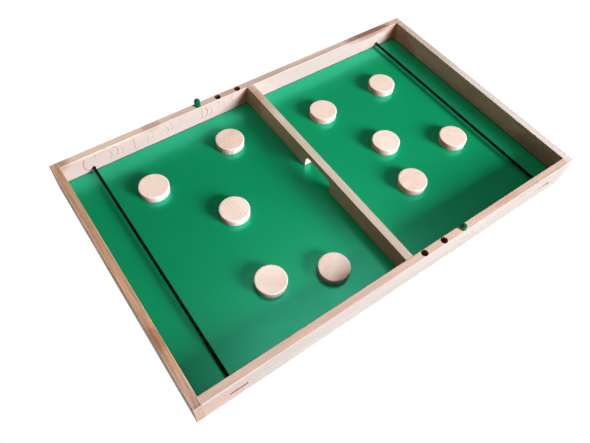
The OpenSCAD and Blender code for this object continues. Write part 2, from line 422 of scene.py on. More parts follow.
solidCopy = {
    "joinWithin": 0.000002,
    "flatWithin": 0.5,  # degrees
    "slant": 0.6,  # a face slants if two parts of its normal are more than this
    "square": 0.9999,  # and is square if one part is more than this
    "towards": 0.5,  # how far it has to agree with a broad face
}


# A piece is named after the node that it replaces, such as leftPuck1 for left_puck_1.
def pieceName(node):
    first, *rest = node.split("_")
    return first + "".join(word.capitalize() for word in rest)


def newPiece(node, mesh):
    piece = bpy.data.objects.new(pieceName(node), mesh)
    bpy.context.scene.collection.objects.link(piece)
    selectOnly(piece)
    return piece


# A copy of a CAD solid with its corners joined, and its flat faces made whole on request.
def copyOfSolid(node, wholeFaces=False):
    piece = newPiece(node, nodes[node].data.copy())
    setMode("EDIT")
    bpy.ops.mesh.select_all(action="SELECT")
    bpy.ops.mesh.remove_doubles(threshold=solidCopy["joinWithin"])
    if wholeFaces:
        bpy.ops.mesh.dissolve_limited(angle_limit=math.radians(solidCopy["flatWithin"]))
    setMode("OBJECT")
    return piece


# Shades each eased arris as a round one: its corners take the normals of the broad faces that
# they lie on, and the broad faces stay flat.
def shadeArrisesRound(piece, low, high, angle):
    selectOnly(piece)
    smoothBelow(angle)
    mesh = piece.data
    normals = [normal.vector.copy() for normal in mesh.corner_normals]
    outward = [(Vector([side if i == axis else 0.0 for i in range(3)]), axis, limit[axis])
               for side, limit in ((-1.0, low), (1.0, high)) for axis in range(3)]
    for polygon in mesh.polygons:
        parts = [abs(part) for part in polygon.normal]
        slanted = sum(part > solidCopy["slant"] for part in parts) >= 2
        for loop in polygon.loop_indices:
            place = mesh.vertices[mesh.loops[loop].vertex_index].co
            faced = [way for way, axis, limit in outward
                     if abs(place[axis] - limit) < touching
                     and way.dot(polygon.normal) > solidCopy["towards"]]
            if slanted and len(faced) == 1:
                normals[loop] = faced[0]
            elif not slanted and max(parts) > solidCopy["square"]:
                normals[loop] = polygon.normal.copy()
    mesh.normals_split_custom_set(normals)


def smoothBelow(degrees):
    bpy.ops.object.shade_smooth_by_angle(angle=math.radians(degrees))


# The piece has to be the active one.
def roundEdges(piece, width, segments, angle=30):
    bevel = piece.modifiers.new("roundedEdges", "BEVEL")
    bevel.width = width
    bevel.segments = segments
    bevel.limit_method = "ANGLE"
    bevel.angle_limit = math.radians(angle)
    bevel.use_clamp_overlap = True
    bevel.harden_normals = True
    bpy.ops.object.modifier_apply(modifier=bevel.name)


def dress(piece, material):
    piece.data.materials.clear()
    piece.data.materials.append(material)


# Rails and divider

# Colours are of the bare oiled wood, but each rail's top and side colours differ to offset how
# much light falls on its top and on its faces, which is painted light. Places are in metres, in
# the board's frame.
beechRail = {
    "roundBelow": 50,  # degrees; the eased arrises turn by 45, and bores by 90
    "roughness": 0.46,
    "smudgeRough": 0.06,
    "fleckRough": 0.12,
    "specular": 0.28,
    "grain": 0.00012,  # depth of the pores
    "fadedRings": 0.15,
    "arcWidth": 0.00055,
    "fleckShare": 0.30,
    # Level arrises are pale, partly from wear and partly as a painted highlight.
    "worn": (0.95, 0.88, 0.80),  # handled arrises have gone pale
    "wornAndHighlightShare": 0.10,
    # A dark joint line above the laminate, partly painted shade in the gap.
    "joint": (0.045, 0.032, 0.020),  # the dark line where the inner faces meet the laminate
    "jointShare": 0.8,
    "jointHeight": 0.0011,
    "jointReach": 0.0003,
    # Bores and slots are dark partly from rough end grain, partly as painted shade in the hollow.
    "bore": (0.120, 0.036, 0.020),  # bores and slots are left rough, and look dark
    # Painted shade in the empty end of each slot.
    "shadedSlotEnd": (0.020, 0.008, 0.008),  # the part of a slot that its tag doesn't fill
}

# The kinds of hollow in a long rail: how far from the middle of the board each one lies, the
# directions in which it is round, its radius, half its size and its colour, which paints shade on
# its walls over their rough grain. A slot is a plain box.
hollowKinds = {
    "scoreHole": (0.18075, (1, 1, 0), 0.0045, (0.006, 0.006, 0.026), "bore"),
    "elasticHole": (0.1765, (1, 0, 1), 0.0025, (0.004, 0.006, 0.004), "bore"),
    "holeMouth": (0.1842, (1, 0, 1), 0.0025, (0.004, 0.0017, 0.004), "bore"),
    "slot": (0.1838, (0, 0, 0), 1.0, (0.0150, 0.0020, 0.0019), "bore"),
    "shadedSlotEnd": (0.1838, (0, 0, 0), 1.0, (0.0031, 0.0020, 0.0019), "shadedSlotEnd"),
}
hollowPlaces = {
    "score": (0.020, 0.053, 0.086),
    "scoreHeight": 0.046,
    "elastic": (-0.250, 0.250),
    "elasticHeight": 0.0202,
    "shadedSlotEnd": 0.0113,  # from the elastic
}


# The hollows of the rail at the front (side -1) or back (side 1). The front rail's right slot is
# as pale as its tag, which is painted light there, apart from its empty end, which is painted
# shade.
def railHollows(side):
    def cut(kind, x, z):
        away, *shape = hollowKinds[kind]
        return ((x, side * away, z), *shape)

    hollows = [cut("scoreHole", -side * x, hollowPlaces["scoreHeight"])
               for x in hollowPlaces["score"]]
    z = hollowPlaces["elasticHeight"]
    for x in hollowPlaces["elastic"]:
        hollows.append(cut("elasticHole", x, z))
        if side > 0 or x < 0:
            hollows += [cut("holeMouth", x, z), cut("slot", x, z)]
        hollows.append(cut("shadedSlotEnd", x - side * hollowPlaces["shadedSlotEnd"], z))
    return hollows


# What a rail has unless it says otherwise.
plainRail = {"turn": 90, "fade": (0.30, -0.30), "sharpness": 5, "wander": 0.009, "arcs": (),
             "hollows": (), "inside": 0.85, "insidePaintedLight": beechRail["bore"]}

# Each patch has its centre, its reach, its colour and its share.
rails = {
    "front_rail": {
        "turn": 0, "hollows": railHollows(-1),
        "top": (0.645, 0.505, 0.435), "side": (0.347, 0.318, 0.310),
        "ringColour": (0.50, 0.30, 0.23), "rings": 0.25,
        "middle": (0.0, -0.262, 0.020), "gap": 0.0031, "tilt": 0.11,
        "streaks": 0.10, "seed": 0.0, "tone": 0.05,
        "patches": [((-0.275, -0.186, 0.020), (0.050, 0.006, 0.019), (0.39, 0.25, 0.185), 0.7),
                    ((0.270, -0.186, 0.020), (0.130, 0.006, 0.030), (0.325, 0.295, 0.28), 0.8),
                    ((0.17, -0.181, 0.045), (0.030, 0.008, 0.012), (0.58, 0.36, 0.31), 0.5),
                    # the last patch is painted shade: a dark line along the inner top arris, which
                    # faces away from the light
                    ((0.0, -0.1752, 0.0455), (1.5, 0.0016, 0.004), (0.20, 0.11, 0.07), 0.75)],
    },
    "back_rail": {
        "turn": 0, "hollows": railHollows(1),
        "top": (0.63, 0.515, 0.455), "side": (0.485, 0.395, 0.39),
        "ringColour": (0.36, 0.21, 0.16), "rings": 0.15, "fade": (0.02, -0.05), "sharpness": 16,
        "middle": (0.0, 0.365, 0.030), "gap": 0.0030, "tilt": 0.16, "wander": 0.004,
        "streaks": 0.04, "seed": 3.1, "tone": 0.04,
        "arcColour": (0.15, 0.06, 0.045),
        # place along the rail, height, bulge, half height and strength of each line, in mm
        "arcs": [(-262, 30, 5, 12, 0.75), (-243, 40, -3, 5, 0.35), (-222, 31, -4, 9, 0.55),
                 (-213, 33, -4, 10, 0.60), (-206, 30, -4, 9, 0.40), (-189, 31, 1, 13, 0.50),
                 (-169, 29, 2, 8, 0.25), (-161, 33, -2, 7, 0.25), (-137, 30, -4, 8, 0.45),
                 (-130, 33, -4, 8, 0.35), (-116, 38, -3, 5, 0.30), (-100, 28, 2, 5, 0.20),
                 (-83, 33, 1, 10, 0.50), (-74, 33, -4, 9, 0.80), (-67, 31, -3, 9, 0.50),
                 (-54, 36, -2, 6, 0.35), (-46, 33, -3, 6, 0.40), (-33, 37, 2, 8, 0.45)],
        "patches": [((-0.220, 0.183, 0.046), (0.110, 0.010, 0.006), (0.78, 0.645, 0.55), 0.8),
                    ((-0.037, 0.183, 0.046), (0.015, 0.010, 0.006), (0.52, 0.39, 0.29), 0.7),
                    ((0.002, 0.183, 0.046), (0.020, 0.010, 0.006), (0.68, 0.62, 0.58), 0.7),
                    # painted shadow of the divider on the back rail's inner face
                    ((-0.006, 0.1755, 0.022), (0.021, 0.006, 0.026), (0.52, 0.245, 0.185), 0.9),
                    ((-0.290, 0.181, 0.045), (0.016, 0.014, 0.012), (0.34, 0.20, 0.13), 0.7),
                    ((-0.160, 0.181, 0.045), (0.016, 0.010, 0.008), (0.42, 0.28, 0.21), 0.6),
                    ((0.030, 0.181, 0.045), (0.055, 0.012, 0.008), (0.47, 0.37, 0.35), 0.5),
                    ((0.230, 0.181, 0.046), (0.052, 0.016, 0.010), (0.24, 0.125, 0.085), 0.95),
                    # painted shadow of the right rail on the back rail's inner face, by the corner
                    ((0.285, 0.1755, 0.024), (0.020, 0.006, 0.030), (0.42, 0.21, 0.155), 0.8),
                    ((0.130, 0.1755, 0.028), (0.140, 0.008, 0.030), (0.41, 0.345, 0.355), 0.6)],
    },
    "left_rail": {
        "top": (0.565, 0.355, 0.230), "side": (0.46, 0.31, 0.22),
        "ringColour": (0.22, 0.10, 0.05), "rings": 0.7, "sharpness": 4,
        "middle": (0.0, 0.355, 0.005), "gap": 0.0029, "tilt": 0.04, "wander": 0.012,
        "streaks": 0.28, "seed": 5.7, "tone": 0.10,
        "patches": [((-0.295, -0.098, 0.045), (0.014, 0.020, 0.010), (0.33, 0.12, 0.07), 0.6),
                    ((-0.295, -0.180, 0.045), (0.014, 0.040, 0.012), (0.55, 0.40, 0.33), 0.75),
                    ((-0.295, -0.187, 0.020), (0.020, 0.006, 0.060), (0.36, 0.255, 0.21), 0.9)],
    },
    "right_rail": {
        "top": (0.71, 0.675, 0.66), "side": (0.66, 0.42, 0.35),
        "ringColour": (0.48, 0.30, 0.23), "rings": 0.35,
        "middle": (0.0, -0.350, 0.010), "gap": 0.0030, "tilt": 0.07,
        "streaks": 0.10, "seed": 8.3, "tone": 0.06,
        "patches": [((0.295, 0.120, 0.045), (0.014, 0.090, 0.012), (0.57, 0.435, 0.365), 0.8),
                    ((0.289, -0.145, 0.024), (0.005, 0.060, 0.019), (0.34, 0.22, 0.17), 0.8),
                    # painted shade in the back corner of the inner face
                    ((0.289, 0.165, 0.022), (0.005, 0.050, 0.030), (0.43, 0.20, 0.13), 0.9),
                    ((0.3005, 0.0, 0.018), (0.004, 0.350, 0.040), (0.36, 0.33, 0.33), 0.9),
                    ((0.295, -0.187, 0.018), (0.014, 0.005, 0.040), (0.33, 0.305, 0.30), 0.9)],
    },
    "divider": {
        "top": (0.62, 0.55, 0.475), "side": (0.66, 0.44, 0.33),
        "ringColour": (0.38, 0.24, 0.16), "rings": 0.35,
        "middle": (0.0, -0.070, 0.012), "gap": 0.0033, "tilt": 0.06,
        "streaks": 0.12, "seed": 11.9, "tone": 0.06,
        # The gate's jambs and the underside of its top are painted pale: partly paler end grain,
        # partly a painted highlight where light comes through the gate.
        "insidePaintedLight": (0.62, 0.55, 0.60), "inside": 0.8,
        "patches": [((0.0, 0.142, 0.045), (0.010, 0.036, 0.010), (0.50, 0.36, 0.25), 0.6),
                    # painted shade where the divider meets the back rail
                    ((-0.006, 0.158, 0.030), (0.010, 0.024, 0.030), (0.46, 0.23, 0.15), 0.7)],
    },
}

# The gate's corners are looked for in the middle of the divider, off its foot and top.
gate = {"radius": 0.0014, "segments": 4, "offFoot": 0.001, "offTop": 0.005, "within": 0.060}


# How far a place lies inside the rails' inner faces.
def insideRails(tree, place, margin=0.0):
    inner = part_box("front_rail")[1]
    half = (inner.x + margin, margin - inner.y, 0.0)
    spare = split(tree, vectorCalc(tree, "SUBTRACT", half, vectorCalc(tree, "ABSOLUTE", place)))
    return calc(tree, "MINIMUM", spare[0], spare[1])


# A thin line above the laminate on every face that looks onto it: a dark joint, partly painted
# shade in the gap.
def footShadeLine(tree, place):
    inside = calc(tree, "GREATER_THAN", insideRails(tree, place, beechRail["jointReach"]), 0.0)
    height = calc(tree, "SUBTRACT", split(tree, place)[2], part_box("playfield")[1].z)
    foot = eased(tree, height, beechRail["jointHeight"] * 0.5, beechRail["jointHeight"], 1.0, 0.0)
    return times(tree, foot, inside)


def beechFinish(name, wood, low, high):
    values = beechRail
    material, tree, shader = newFinish(
        name, {"Roughness": values["roughness"], "Specular IOR Level": values["specular"]})
    coords = addNode(tree, "TexCoord").outputs
    place = coords["Object"]
    turn = (0, 0, -math.radians(wood["turn"]))
    along = addNode(tree, "Mapping", {"Vector": place, "Rotation": turn}).outputs[0]
    figure = useGroup(tree, beechFigure, {
        "Place": along, "Ring Middle": wood["middle"], "Ring Gap": wood["gap"],
        "Ring Tilt": wood["tilt"], "Wander": wood["wander"], "Sharpness": wood["sharpness"],
        "Seed": wood["seed"]})
    worn = useGroup(tree, arrisWearAndLight, {"Place": place, "Low": low, "High": high})
    used = handled(tree, place, wood["seed"])

    # Painted light: the side and top colours differ by how much light falls on each.
    upward = eased(tree, split(tree, coords["Normal"])[2], 0.25, 0.85)
    colour = mixColour(tree, upward, wood["side"], wood["top"])
    tone = eased(tree, figure["Tone"], 0.0, 1.0, 1 - wood["tone"], 1 + wood["tone"])
    colour = mixColour(tree, 1.0, colour, tone, "MULTIPLY")
    for centre, reach, stain, share in wood["patches"]:
        patch = useGroup(tree, softPatch, {"Place": place, "Centre": centre, "Reach": reach})
        colour = stained(tree, colour, patch["Mask"], share, stain)
    fade = eased(tree, split(tree, along)[0], *wood["fade"], values["fadedRings"], 1.0)
    rings = times(tree, figure["Rings"], fade)
    colour = stained(tree, colour, rings, wood["rings"], wood["ringColour"])
    for x, z, bulge, reach, share in wood["arcs"]:
        arc = useGroup(tree, thinArc, {"Place": place, "Middle": (x * mm, 0, z * mm),
                                       "Bulge": bulge * mm, "Reach": reach * mm,
                                       "Width": values["arcWidth"]})
        colour = stained(tree, colour, arc["Mask"], share, wood["arcColour"])
    streaks = eased(tree, figure["Streaks"], 0.0, 1.0, 1 + wood["streaks"] / 2,
                    1 - wood["streaks"])
    colour = mixColour(tree, 1.0, colour, streaks, "MULTIPLY")
    colour = stained(tree, colour, figure["Flecks"], values["fleckShare"], wood["ringColour"])
    # Pale level arrises: partly wear, partly a painted highlight.
    colour = stained(tree, colour, worn["Arris"], values["wornAndHighlightShare"], values["worn"])
    # Painted light inside the piece: shade in bores, a highlight in the divider's gate.
    colour = stained(tree, colour, worn["Inside"], wood["inside"], wood["insidePaintedLight"])
    # The walls of bores and slots get painted shade over their grain.
    for centre, across, radius, half, kind in wood["hollows"]:
        wall = useGroup(tree, hollowWall, {"Place": place, "Centre": centre, "Across": across,
                                           "Radius": radius, "Half Size": half})
        colour = mixColour(tree, wall["Mask"], colour, values[kind])
    # Dark joint at the foot of the faces, partly painted shade in the gap.
    joint = footShadeLine(tree, place)
    colour = stained(tree, colour, joint, values["jointShare"], values["joint"])

    rough = eased(tree, used["Smudges"], 0.0, 1.0, values["roughness"] + values["smudgeRough"],
                  values["roughness"] - values["smudgeRough"])
    rough = calc(tree, "MULTIPLY_ADD", figure["Flecks"], values["fleckRough"], rough)
    joinFinish(tree, shader, colour, rough, figure["Height"], values["grain"])
    return material


# The gate's half width and top, found from the divider's own solid.
def gateSize(values, low, high):
    inside = [v.co for v in nodes["divider"].data.vertices
              if low.z + values["offFoot"] < v.co.z < high.z - values["offTop"]
              and abs(v.co.y) < values["within"]]
    return max(abs(c.y) for c in inside), max(c.z for c in inside)


# Rounds the gate's edges on both faces of the divider.
def roundGate(piece, values, low, high):
    halfWidth, top = gateSize(values, low, high)
    mesh = piece.data
    for part in (*mesh.polygons, *mesh.vertices):
        part.select = False
    for edge in mesh.edges:
        ends = [mesh.vertices[v].co for v in edge.vertices]
        onSide = abs(ends[0].x - ends[1].x) < touching and abs(abs(ends[0].x) - high.x) < touching
        onGate = all(abs(e.y) < halfWidth + touching and e.z < top + touching for e in ends)
        edge.select = onSide and onGate
    setMode("EDIT")
    bpy.ops.mesh.select_mode(type="EDGE")
    bpy.ops.mesh.bevel(offset=values["radius"], segments=values["segments"], affect="EDGES",
                       clamp_overlap=True)
    setMode("OBJECT")


def makeRails():
    for node, own in rails.items():
        wood = {**plainRail, **own}
        low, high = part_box(node)
        piece = copyOfSolid(node, wholeFaces=node == "divider")
        if node == "divider":
            roundGate(piece, gate, low, high)
        shadeArrisesRound(piece, low, high, beechRail["roundBelow"])
        dress(piece, beechFinish(piece.name + "Beech", wood, low, high))
        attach(piece, "board")
        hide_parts(node)


makeRails()
print("rails and divider are made")

# Playfield, panel and dowels

laminate = {
    "seed": 2.4,
    "colour": (0.0026, 0.345, 0.138),
    "cloud": (0.003, 0.295, 0.120),
    "cloudShare": 0.10,
    "smudge": (0.008, 0.38, 0.18),
    "smudgeShare": 0.05,
    "scratch": (0.05, 0.45, 0.26),
    "scratchShare": 0.06,
    # Painted light: the sheet is darker towards the left, standing in for the light falling off
    # across the board.
    "paintedFalloff": (-0.30, 0.06, 0.79, 0.99),  # from and to along X, and the strength at each
    "roughness": 0.30,
    "polish": 0.01,
    "smudgeRough": 0.03,
    "scratchRough": 0.05,
    "ior": 3.0,
    "tint": (0.11, 1.0, 0.78),
    "pebble": 0.00003,  # depth of the pressed texture
    "pebbleShare": 0.25,
    # The dark joint round the sheet is partly painted shade in the gap.
    "edge": (0.002, 0.022, 0.010),  # the dark joint where the sheet meets the rails
    "edgeShare": 0.9,
    "edgeWidth": 0.0011,
}


def laminateFinish(values):
    material, tree, shader = newFinish(
        "greenLaminate", {"Roughness": values["roughness"], "IOR": values["ior"],
                          "Specular Tint": solid(values["tint"])})
    place = addNode(tree, "TexCoord").outputs["Object"]
    used = handled(tree, place, values["seed"])
    cloud = noise(tree, place, (7, 7, 7), 3.0, 0.55)
    colour = mixColour(tree, eased(tree, cloud, 0.3, 0.7, 0.0, values["cloudShare"]),
                       values["colour"], values["cloud"])
    colour = stained(tree, colour, used["Smudges"], values["smudgeShare"], values["smudge"])
    colour = stained(tree, colour, used["Scratches"], values["scratchShare"], values["scratch"])
    # Painted light: darker towards the left.
    paintedFalloff = eased(tree, split(tree, place)[0], *values["paintedFalloff"])
    colour = mixColour(tree, 1.0, colour, paintedFalloff, "MULTIPLY")
    # Darker joint along the rails, partly painted shade in the gap.
    joint = eased(tree, insideRails(tree, place), values["edgeWidth"] * 0.6, values["edgeWidth"],
                  values["edgeShare"], 0.0)
    colour = mixColour(tree, joint, colour, values["edge"])
    rough = calc(tree, "MULTIPLY_ADD", used["Smudges"], values["smudgeRough"],
                 values["roughness"] - values["polish"])
    rough = calc(tree, "MULTIPLY_ADD", used["Scratches"], values["scratchRough"], rough)
    pebbles = noise(tree, place, (1500, 1500, 1500), 1.0)
    joinFinish(tree, shader, colour, rough, pebbles, values["pebble"], values["pebbleShare"])
    return material


fibreboard = {
    "seed": 6.2,
    "colour": (0.25, 0.15, 0.09),
    "dark": (0.16, 0.09, 0.05),
    "scratch": (0.42, 0.29, 0.19),
    "scratchShare": 0.35,
    "roughness": (0.76, 0.58),  # where it is clean and where it is smudged
    "specular": 0.25,
    "fibreDepth": 0.0001,
    "fibreShare": 0.5,
}


def fibreboardFinish(values):
    material, tree, shader = newFinish(
        "brownFibreboard", {"Specular IOR Level": values["specular"]})
    place = addNode(tree, "TexCoord").outputs["Object"]
    used = handled(tree, place, values["seed"])
    fibres = noise(tree, place, (900, 900, 900), 3.0, 0.7)
    mottled = noise(tree, place, (40, 40, 40), 3.0, 0.6)
    share = eased(tree, calc(tree, "ADD", mottled, fibres), 0.70, 1.30)
    colour = mixColour(tree, share, values["dark"], values["colour"])
    colour = stained(tree, colour, used["Scratches"], values["scratchShare"], values["scratch"])
    rough = eased(tree, used["Smudges"], 0.0, 1.0, *values["roughness"])
    joinFinish(tree, shader, colour, rough, fibres, values["fibreDepth"], values["fibreShare"])
    return material


dowelWood = {
    "seed": 4.4,
    "colour": (0.76, 0.6, 0.44),
    "dark": (0.55, 0.38, 0.25),
    "roughness": (0.55, 0.75),  # between its flecks and on them
    "specular": 0.25,
    "grain": 0.0001,
}


def dowelFinish(values):
    material, tree, shader = newFinish("dowelBeech", {"Specular IOR Level": values["specular"]})
    place = addNode(tree, "TexCoord").outputs["Object"]
    figure = useGroup(tree, beechFigure, {"Place": place, "Seed": values["seed"]})
    colour = mixColour(tree, figure["Streaks"], values["colour"], values["dark"])
    rough = eased(tree, figure["Flecks"], 0.0, 1.0, *values["roughness"])
    joinFinish(tree, shader, colour, rough, figure["Height"], values["grain"])
    return material


dress(nodes["playfield"], laminateFinish(laminate))
dress(nodes["base_panel"], fibreboardFinish(fibreboard))
dress(nodes["joint_dowels"], dowelFinish(dowelWood))
print("playfield, panel and dowels are finished")

# Pucks

puck = {
    "sides": 128,
    "rimRadius": 0.0007,
    "rimSegments": 4,
    "rimAngle": 50,
    "smoothBelow": 35,
    "insets": ((0.0022, 0.0), (0.0060, 0.00004)),  # the faces are very slightly crowned
    "roughness": (0.55, 0.43),  # where it is clean and where it is smudged
    "specular": 0.3,
    "grain": 0.0001,
    "ringMiddle": (0.0, 0.16, 0.03),
    "ringTilt": 0.02,
    "colour": (0.865, 0.735, 0.655),
    "pale": (0.985, 0.905, 0.85),
    "dark": (0.78, 0.63, 0.545),
    "darkShare": 0.45,
    "line": (0.46, 0.26, 0.17),
    "streakShare": 0.09,
    "fleckShare": 0.35,
    # A painted highlight round the edge of each face, not wear.
    "rim": (0.97, 0.95, 0.90),  # worn pale
    "rimHighlightShare": 0.6,
    # The turned side is darker and cooler than the faces, partly as painted light.
    "side": (0.68, 0.77, 0.87),  # how much darker the turned side is
    # Painted shade on the side that faces left, away from the light, not browning.
    "shadedSide": (0.78, 0.50, 0.54),  # the same where it faces left, which has browned
}

# Each puck's paleness, its grain's angle in degrees, and the strength and gap (mm) of its growth
# lines. How far these wander, how sharply they end and how little they break are plainCut's,
# unless a puck says otherwise.
plainCut = {"wander": 0.0025, "sharpness": 3.0, "steady": 0.0}
pucks = {
    "left_puck_1": {"pale": 0.25, "turn": 60, "rings": 0.05, "gap": 3.0, "seed": 1.3},
    "left_puck_2": {"pale": 0.85, "turn": 15, "rings": 1.0, "gap": 4.0,
                    "seed": 2.7, "wander": 0.0012, "sharpness": 2.0, "steady": 0.7},
    "left_puck_3": {"pale": 1.0, "turn": 94, "rings": 0.24, "gap": 4.6,
                    "seed": 4.1, "sharpness": 1.5, "steady": 0.3},
    # left_puck_4 is as pale as it goes, partly to offset the front rail's shadow on its top:
    # painted light.
    "left_puck_4": {"pale": 1.0, "turn": 35, "rings": 0.12, "gap": 3.4, "seed": 5.9},
    "left_puck_5": {"pale": 1.0, "turn": 150, "rings": 0.08, "gap": 2.8, "seed": 7.2},
    "right_puck_1": {"pale": 0.25, "turn": 80, "rings": 0.10, "gap": 3.0, "seed": 8.8},
    "right_puck_2": {"pale": 0.05, "turn": 40, "rings": 0.12, "gap": 3.3, "seed": 9.6},
    "right_puck_3": {"pale": 0.0, "turn": 130, "rings": 0.12, "gap": 3.6, "seed": 10.4},
    "right_puck_4": {"pale": 0.5, "turn": 55, "rings": 0.10, "gap": 3.1, "seed": 12.5},
    "right_puck_5": {"pale": 0.0, "turn": 12, "rings": 0.45, "gap": 4.2, "seed": 13.7},
}


def puckFinish(name, cut, centre):
    values = puck
    material, tree, shader = newFinish(name, {"Specular IOR Level": values["specular"]})
    coords = addNode(tree, "TexCoord").outputs
    moved = vectorCalc(tree, "SUBTRACT", coords["Object"], centre)
    turned = turnedFlat(tree, moved, -math.radians(cut["turn"]))
    figure = useGroup(tree, beechFigure, {
        "Place": turned, "Ring Middle": values["ringMiddle"], "Ring Gap": cut["gap"] * mm,
        "Ring Tilt": values["ringTilt"], "Wander": cut["wander"], "Sharpness": cut["sharpness"],
        "Steadiness": cut["steady"], "Seed": cut["seed"]})
    used = handled(tree, coords["Object"], cut["seed"])
    colour = mixColour(tree, cut["pale"], values["colour"], values["pale"])
    dark = eased(tree, figure["Tone"], 0.0, 1.0, values["darkShare"], 0.0)
    colour = mixColour(tree, dark, colour, values["dark"])
    for mark, share in (("Rings", cut["rings"]), ("Streaks", values["streakShare"]),
                        ("Flecks", values["fleckShare"])):
        colour = stained(tree, colour, figure[mark], share, values["line"])
    facing = split(tree, coords["Normal"])
    # Painted light on the side: darker and warmer where it faces left, cooler elsewhere.
    outsidePaintedShade = eased(tree, facing[0], -0.75, -0.15)
    side = mixColour(tree, outsidePaintedShade, values["shadedSide"], values["side"])
    upward = eased(tree, facing[2], 0.2, 0.8)
    colour = mixColour(tree, upward, mixColour(tree, 1.0, colour, side, "MULTIPLY"), colour)
    # Painted highlight on the rounded rims.
    rim = times(tree, eased(tree, facing[2], 0.15, 0.40),
                eased(tree, facing[2], 0.90, 0.99, values["rimHighlightShare"], 0.0))
    colour = mixColour(tree, rim, colour, values["rim"])
    rough = eased(tree, used["Smudges"], 0.0, 1.0, *values["roughness"])
    joinFinish(tree, shader, colour, rough, figure["Height"], values["grain"])
    return material


def applyPlace():
    bpy.ops.object.transform_apply(location=True, rotation=True, scale=True)


# Opens a piece for editing with only the chosen faces selected.
def editFaces(piece, chosen):
    setMode("EDIT")
    bpy.ops.mesh.select_all(action="DESELECT")
    setMode("OBJECT")
    for face in piece.data.polygons:
        face.select = chosen(face)
    setMode("EDIT")
    bpy.ops.mesh.select_mode(type="FACE")


# One turned disc, standing on the origin.
def makePuckShape(values, size):
    bpy.ops.mesh.primitive_cylinder_add(vertices=values["sides"], radius=size.x / 2,
                                        depth=size.z, location=(0, 0, size.z / 2))
    shape = bpy.context.object
    applyPlace()
    editFaces(shape, lambda face: abs(face.normal.z) > 0.9)
    for width, rise in values["insets"]:
        bpy.ops.mesh.inset(thickness=width, depth=rise)
    setMode("OBJECT")
    roundEdges(shape, values["rimRadius"], values["rimSegments"], values["rimAngle"])
    smoothBelow(values["smoothBelow"])
    return shape


# A copy of a shape that stands on the origin, put where a node stands.
def placeCopy(shape, node):
    low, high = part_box(node)
    middle = (low + high) / 2
    piece = newPiece(node, shape.data.copy())
    piece.location = (middle.x, middle.y, low.z)
    applyPlace()
    return piece


def makePucks():
    low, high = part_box("left_puck_1")
    shape = makePuckShape(puck, high - low)
    for node, own in pucks.items():
        piece = placeCopy(shape, node)
        centre = sum(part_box(node), Vector()) / 2
        dress(piece, puckFinish(piece.name + "Beech", {**plainCut, **own}, centre))
        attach(piece, node + "_body")
        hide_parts(node)
    bpy.data.objects.remove(shape)


makePucks()
print(len(pucks), "pucks are made")

# Score pegs

peg = {
    "seed": 3.3,
    "useSeed": 9.1,
    "sides": 48,
    "rings": 32,
    "domeHeight": 0.0042,
    "footEase": 0.0006,
    "shaftParts": 5,
    "smoothBelow": 30,
    "colour": (0.0006, 0.095, 0.034),
    "pale": (0.01, 0.20, 0.09),
    "streakShare": 0.08,
    "fleck": (0.001, 0.035, 0.014),
    "fleckShare": 0.4,
    "tint": (0.15, 1.0, 0.50),
    "specular": 0.5,
    "coat": 0.25,
    "coatRough": 0.12,
    "roughness": 0.22,
    "smudgeRough": 0.12,
    "ringGap": 0.0016,
    "grain": 0.00008,
}


def extrude(*way):
    bpy.ops.mesh.extrude_region_move(TRANSFORM_OT_translate={"value": way})


# A turned peg standing on the origin, with a domed head.
def makePegShape(values, size):
    radius = size.x / 2
    bpy.ops.mesh.primitive_uv_sphere_add(segments=values["sides"], ring_count=values["rings"],
                                         radius=radius)
    shape = bpy.context.object
    middle = size.z - values["domeHeight"]
    shape.scale.z = values["domeHeight"] / radius
    shape.location.z = middle
    applyPlace()
    setMode("EDIT")
    bpy.ops.mesh.select_all(action="SELECT")
    bpy.ops.mesh.bisect(plane_co=(0, 0, middle + touching), plane_no=(0, 0, 1), clear_inner=True,
                        use_fill=True)
    # only the face that closes the cut
    editFaces(shape, lambda face: face.normal.z < -0.9 and len(face.vertices) > 8)
    depth = middle - values["footEase"]
    for _ in range(values["shaftParts"]):
        extrude(0, 0, -depth / values["shaftParts"])
    extrude(0, 0, -values["footEase"])
    shrink = 1 - values["footEase"] / radius
    bpy.ops.transform.resize(value=(shrink, shrink, 1))
    setMode("OBJECT")
    smoothBelow(values["smoothBelow"])
    return shape


def pegFinish(values):
    material, tree, shader = newFinish("greenStainedBeech", {
        "Specular IOR Level": values["specular"], "Specular Tint": solid(values["tint"]),
        "Coat Weight": values["coat"], "Coat Roughness": values["coatRough"]})
    place = addNode(tree, "TexCoord").outputs["Object"]
    turn = (0, math.radians(90), 0)
    upright = addNode(tree, "Mapping", {"Vector": place, "Rotation": turn}).outputs[0]
    figure = useGroup(tree, beechFigure, {
        "Place": upright, "Ring Gap": values["ringGap"], "Seed": values["seed"]})
    used = handled(tree, place, values["useSeed"])
    colour = stained(tree, values["colour"], figure["Streaks"], values["streakShare"],
                     values["pale"])
    colour = stained(tree, colour, figure["Flecks"], values["fleckShare"], values["fleck"])
    rough = calc(tree, "MULTIPLY_ADD", used["Smudges"], values["smudgeRough"], values["roughness"])
    joinFinish(tree, shader, colour, rough, figure["Height"], values["grain"])
    return material


def makePegs():
    low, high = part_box("front_score_peg")
    shape = makePegShape(peg, high - low)
    finish = pegFinish(peg)
    for node, body in (("front_score_peg", "front_peg"), ("back_score_peg", "back_peg")):
        piece = placeCopy(shape, node)
        dress(piece, finish)
        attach(piece, body)
        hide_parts(node)
    bpy.data.objects.remove(shape)


makePegs()
print("score pegs are made")

# Elastics and their tags

